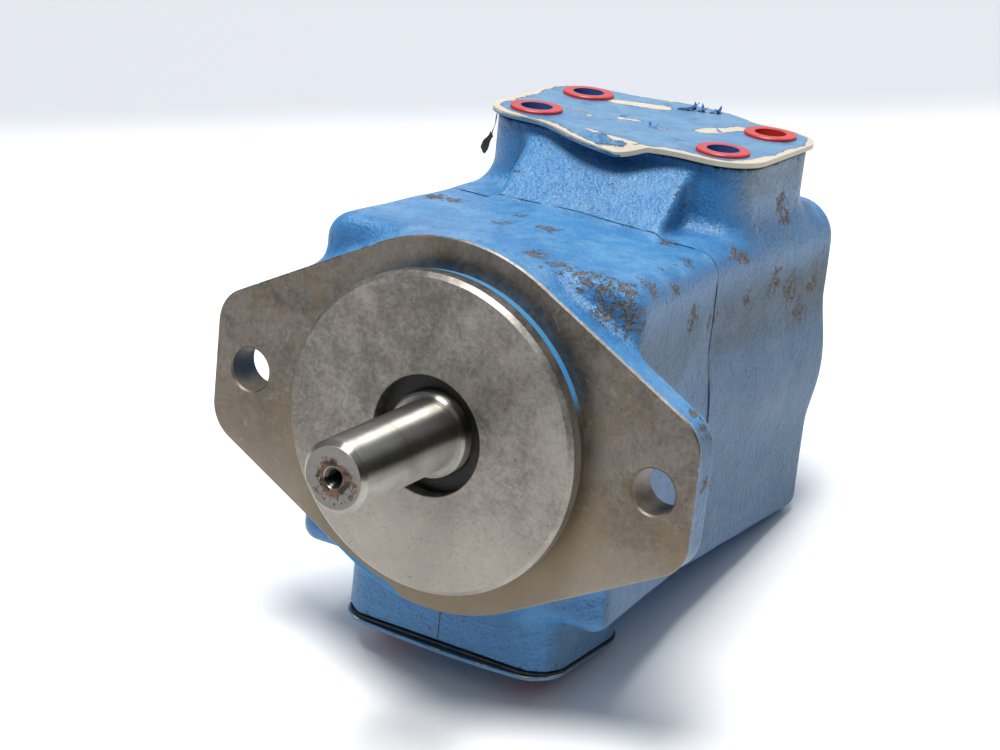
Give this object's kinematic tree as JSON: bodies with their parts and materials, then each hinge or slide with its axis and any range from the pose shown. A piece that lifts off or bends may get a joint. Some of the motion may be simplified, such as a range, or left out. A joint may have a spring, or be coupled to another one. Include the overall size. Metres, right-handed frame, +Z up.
{
  "type": "hydraulic vane pump",
  "caption": "Hydraulic vane pump with a two-bolt mounting flange, keyed drive shaft, blue cast housing, covered inlet port on top and outlet port underneath.",
  "frame": {"origin": "where the shaft axis meets the mounting face of the two-bolt flange", "axes": "-Y along the shaft, out of its drive end; +Y towards the rear cover; +Z up, out of the inlet port; +X to the right seen from the shaft end; the two flange holes lie on X"},
  "size_m": [0.174, 0.2208, 0.1594],
  "materials": {
    "front_casting_paint": "blue sprayed paint over a sand-cast iron housing, machined flange face left bare",
    "rear_casting_paint": "blue sprayed paint over a sand-cast iron cover",
    "cover_bolt_paint": "blue paint over steel hex bolts",
    "shaft_steel": "ground steel with brown stains at the end",
    "bearing_steel": "ground bearing steel",
    "ball_steel": "polished bearing balls",
    "cage_steel": "pressed steel",
    "ring_steel": "blackened spring steel",
    "seal_case_steel": "pressed steel",
    "garter_steel": "coiled spring wire",
    "seal_rubber": "black rubber",
    "o_ring_rubber": "black rubber",
    "backup_ring_plastic": "off-white plastic",
    "side_plate_iron": "ground cast iron",
    "cam_ring_steel": "ground steel",
    "rotor_steel": "ground steel",
    "vane_steel": "ground steel",
    "dowel_steel": "ground steel",
    "screw_steel": "blackened steel",
    "tail_bush_bronze": "bronze bush",
    "gasket_fibre": "black fibre gasket",
    "inlet_closure_fibre": "cream fibre sheet painted over in blue, paint peeling at the edges",
    "outlet_closure_fibre": "cream fibre sheet painted over in blue",
    "plug_plastic": "glossy red plastic"
  },
  "bodies": {
    "housing": {"front_housing": "front_casting_paint", "rear_cover": "rear_casting_paint", "cover_bolts": "cover_bolt_paint", "joint_o_ring": "o_ring_rubber", "shaft_seal_case": "seal_case_steel", "shaft_seal_lip": "seal_rubber", "seal_garter_spring": "garter_steel", "bearing_outer_ring": "bearing_steel", "bearing_retaining_ring": "ring_steel", "outlet_support_plate": "side_plate_iron", "inlet_support_plate": "side_plate_iron", "cam_ring": "cam_ring_steel", "dowel_pins": "dowel_steel", "cartridge_screws": "screw_steel", "shaft_tail_bush": "tail_bush_bronze", "plate_rim_o_ring": "o_ring_rubber", "plate_rim_backup_ring": "backup_ring_plastic", "plate_hub_o_ring": "o_ring_rubber", "inlet_gasket": "gasket_fibre", "outlet_gasket": "gasket_fibre", "outlet_closure_plate": "outlet_closure_fibre", "outlet_plugs": "plug_plastic"},
    "shaft": {"drive_shaft": "shaft_steel", "bearing_inner_ring": "bearing_steel", "shaft_retaining_ring": "ring_steel", "rotor": "rotor_steel", "vane_inserts": "vane_steel"},
    "ball_set": {"bearing_balls": "ball_steel", "bearing_cage": "cage_steel"},
    "vane_01": {"vane_01": "vane_steel"},
    "vane_02": {"vane_02": "vane_steel"},
    "vane_03": {"vane_03": "vane_steel"},
    "vane_04": {"vane_04": "vane_steel"},
    "vane_05": {"vane_05": "vane_steel"},
    "vane_06": {"vane_06": "vane_steel"},
    "vane_07": {"vane_07": "vane_steel"},
    "vane_08": {"vane_08": "vane_steel"},
    "vane_09": {"vane_09": "vane_steel"},
    "vane_10": {"vane_10": "vane_steel"},
    "inlet_closure": {"inlet_closure_plate": "inlet_closure_fibre"},
    "inlet_plug_1": {"inlet_plug_1": "plug_plastic"},
    "inlet_plug_2": {"inlet_plug_2": "plug_plastic"},
    "inlet_plug_3": {"inlet_plug_3": "plug_plastic"},
    "inlet_plug_4": {"inlet_plug_4": "plug_plastic"}
  },
  "joints": [
    {"name": "shaft_spin", "type": "hinge", "parent": "housing", "child": "shaft", "pos_m": [0, 0, 0], "axis": [0, -1, 0], "continuous": true},
    {"name": "ball_set_orbit", "type": "hinge", "parent": "housing", "child": "ball_set", "pos_m": [0, 0, 0], "axis": [0, -1, 0], "continuous": true},
    {"name": "vane_01_slide", "type": "slide", "parent": "shaft", "child": "vane_01", "axis": [0, 0, 1], "range_m": [0, 0.0008]},
    {"name": "vane_02_slide", "type": "slide", "parent": "shaft", "child": "vane_02", "axis": [0.5878, 0, 0.809], "range_m": [0, 0.0008]},
    {"name": "vane_03_slide", "type": "slide", "parent": "shaft", "child": "vane_03", "axis": [0.9511, 0, 0.309], "range_m": [0, 0.0008]},
    {"name": "vane_04_slide", "type": "slide", "parent": "shaft", "child": "vane_04", "axis": [0.9511, 0, -0.309], "range_m": [0, 0.0008]},
    {"name": "vane_05_slide", "type": "slide", "parent": "shaft", "child": "vane_05", "axis": [0.5878, 0, -0.809], "range_m": [0, 0.0008]},
    {"name": "vane_06_slide", "type": "slide", "parent": "shaft", "child": "vane_06", "axis": [0, 0, -1], "range_m": [0, 0.0008]},
    {"name": "vane_07_slide", "type": "slide", "parent": "shaft", "child": "vane_07", "axis": [-0.5878, 0, -0.809], "range_m": [0, 0.0008]},
    {"name": "vane_08_slide", "type": "slide", "parent": "shaft", "child": "vane_08", "axis": [-0.9511, 0, -0.309], "range_m": [0, 0.0008]},
    {"name": "vane_09_slide", "type": "slide", "parent": "shaft", "child": "vane_09", "axis": [-0.9511, 0, 0.309], "range_m": [0, 0.0008]},
    {"name": "vane_10_slide", "type": "slide", "parent": "shaft", "child": "vane_10", "axis": [-0.5878, 0, 0.809], "range_m": [0, 0.0008]},
    {"name": "inlet_closure_lift", "type": "slide", "parent": "housing", "child": "inlet_closure", "axis": [0, 0, 1], "range_m": [0, 0.06]},
    {"name": "inlet_plug_1_pull", "type": "slide", "parent": "inlet_closure", "child": "inlet_plug_1", "axis": [0, 0, 1], "range_m": [0, 0.03]},
    {"name": "inlet_plug_2_pull", "type": "slide", "parent": "inlet_closure", "child": "inlet_plug_2", "axis": [0, 0, 1], "range_m": [0, 0.03]},
    {"name": "inlet_plug_3_pull", "type": "slide", "parent": "inlet_closure", "child": "inlet_plug_3", "axis": [0, 0, 1], "range_m": [0, 0.03]},
    {"name": "inlet_plug_4_pull", "type": "slide", "parent": "inlet_closure", "child": "inlet_plug_4", "axis": [0, 0, 1], "range_m": [0, 0.03]}
  ],
  "couplings": [
    {"joint": "ball_set_orbit", "follows": "shaft_spin", "ratio": 0.397},
    {"joint": "vane_06_slide", "follows": "vane_01_slide", "ratio": 1},
    {"joint": "vane_07_slide", "follows": "vane_02_slide", "ratio": 1},
    {"joint": "vane_08_slide", "follows": "vane_03_slide", "ratio": 1},
    {"joint": "vane_09_slide", "follows": "vane_04_slide", "ratio": 1},
    {"joint": "vane_10_slide", "follows": "vane_05_slide", "ratio": 1}
  ]
}
